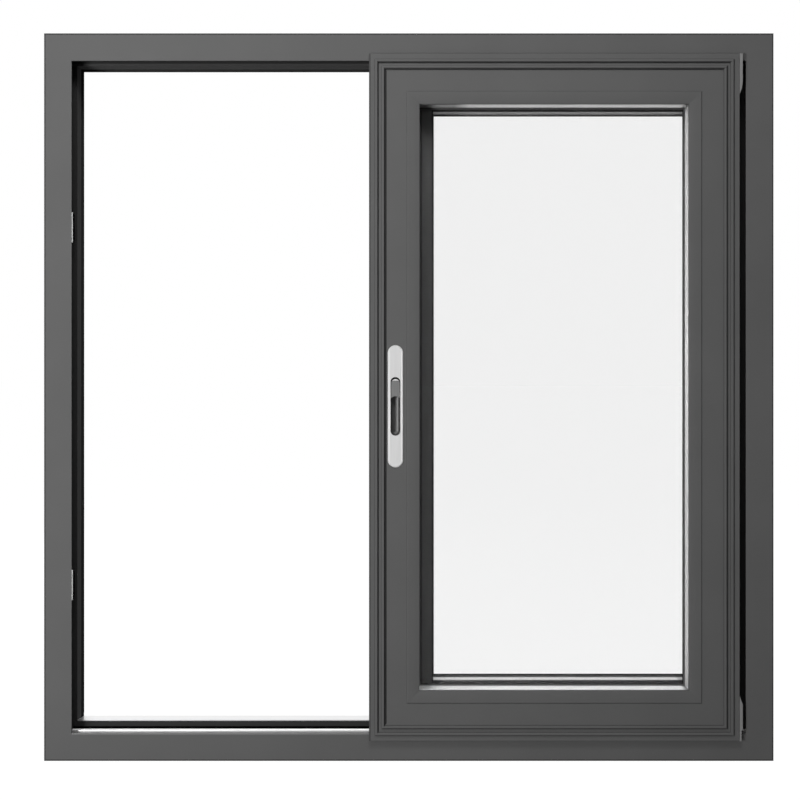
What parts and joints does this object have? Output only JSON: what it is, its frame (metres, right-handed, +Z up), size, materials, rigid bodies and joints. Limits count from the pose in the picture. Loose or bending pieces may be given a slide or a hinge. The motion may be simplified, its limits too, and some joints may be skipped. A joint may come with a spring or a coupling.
{
  "type": "horizontal sliding window",
  "caption": "Grey aluminium horizontal sliding window with one sash slid open in front of a fixed light, a flush lock, a running rail and an open bay beside it.",
  "frame": {"origin": "middle of the sill's underside, halfway through the frame's depth", "axes": "+X along the window to the right seen from the sash's side, +Y through the window away from that side, +Z up"},
  "size_m": [1.2, 0.1027, 1.197],
  "materials": {
    "dark_grey_paint": "satin powder coat",
    "clear_glass": "clear, polished",
    "spacer_aluminium": "mill finish",
    "black_rubber": "matt",
    "satin_silver": "satin anodised",
    "dark_metal": "gloss black",
    "grey_metal": "satin",
    "keeper_steel": "zinc plated",
    "stainless_steel": "bright",
    "grey_plastic": "moulded",
    "white_nylon": "moulded",
    "black_plastic": "moulded"
  },
  "bodies": {
    "root": {"fixed_bottom_bead": "dark_grey_paint", "fixed_bottom_rail": "dark_grey_paint", "fixed_front_pane": "clear_glass", "fixed_gasket": "black_rubber", "fixed_left_bead": "dark_grey_paint", "fixed_meeting_stile": "dark_grey_paint", "fixed_rear_pane": "clear_glass", "fixed_right_bead": "dark_grey_paint", "fixed_right_stile": "dark_grey_paint", "fixed_spacer": "spacer_aluminium", "fixed_top_bead": "dark_grey_paint", "fixed_top_rail": "dark_grey_paint", "frame_head": "dark_grey_paint", "frame_left_jamb": "dark_grey_paint", "frame_right_jamb": "dark_grey_paint", "frame_sill": "dark_grey_paint", "front_rail": "stainless_steel", "guide_shoes": "black_plastic", "left_roller": "white_nylon", "left_roller_carriage": "black_plastic", "lock_cup": "dark_metal", "lock_plate": "satin_silver", "lower_keeper": "keeper_steel", "meeting_brush": "black_rubber", "right_roller": "white_nylon", "right_roller_carriage": "black_plastic", "sash_bottom_bead": "dark_grey_paint", "sash_bottom_rail": "dark_grey_paint", "sash_flange_seal": "black_rubber", "sash_front_pane": "clear_glass", "sash_gasket": "black_rubber", "sash_left_bead": "dark_grey_paint", "sash_left_stile": "dark_grey_paint", "sash_lower_end_block": "grey_plastic", "sash_rear_pane": "clear_glass", "sash_right_bead": "dark_grey_paint", "sash_right_stile": "dark_grey_paint", "sash_spacer": "spacer_aluminium", "sash_top_bead": "dark_grey_paint", "sash_top_rail": "dark_grey_paint", "sash_upper_end_block": "grey_plastic", "sill_step": "dark_grey_paint", "sill_step_cover": "stainless_steel", "thumb_slider": "grey_metal", "upper_keeper": "keeper_steel"}
  },
  "joints": []
}
